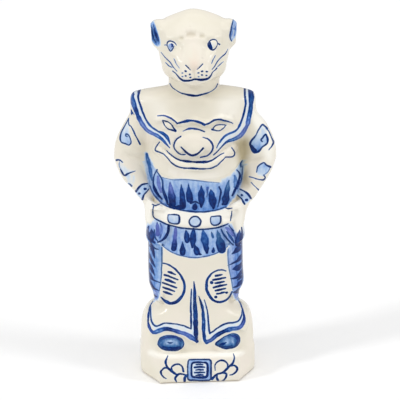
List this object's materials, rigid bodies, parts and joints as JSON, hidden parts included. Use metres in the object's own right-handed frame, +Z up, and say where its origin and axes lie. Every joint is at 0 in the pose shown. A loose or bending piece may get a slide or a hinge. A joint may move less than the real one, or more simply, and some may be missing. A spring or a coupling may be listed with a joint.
{
  "type": "zodiac guardian figure",
  "caption": "Standing porcelain zodiac guardian with a tiger's head, robe and armour, hands on its hips, on a low plinth with cut corners.",
  "frame": {"origin": "middle of the plinth's underside", "axes": "+Z up; the figure faces -Y, and +X is at its left hand, which is at the right as it is looked at"},
  "size_m": [0.1302, 0.0703, 0.2999],
  "materials": {
    "painted_porcelain": "warm ivory clear glaze over brushed cobalt blue decoration"
  },
  "bodies": {
    "root": {"tiger_figure": "painted_porcelain"}
  },
  "joints": []
}
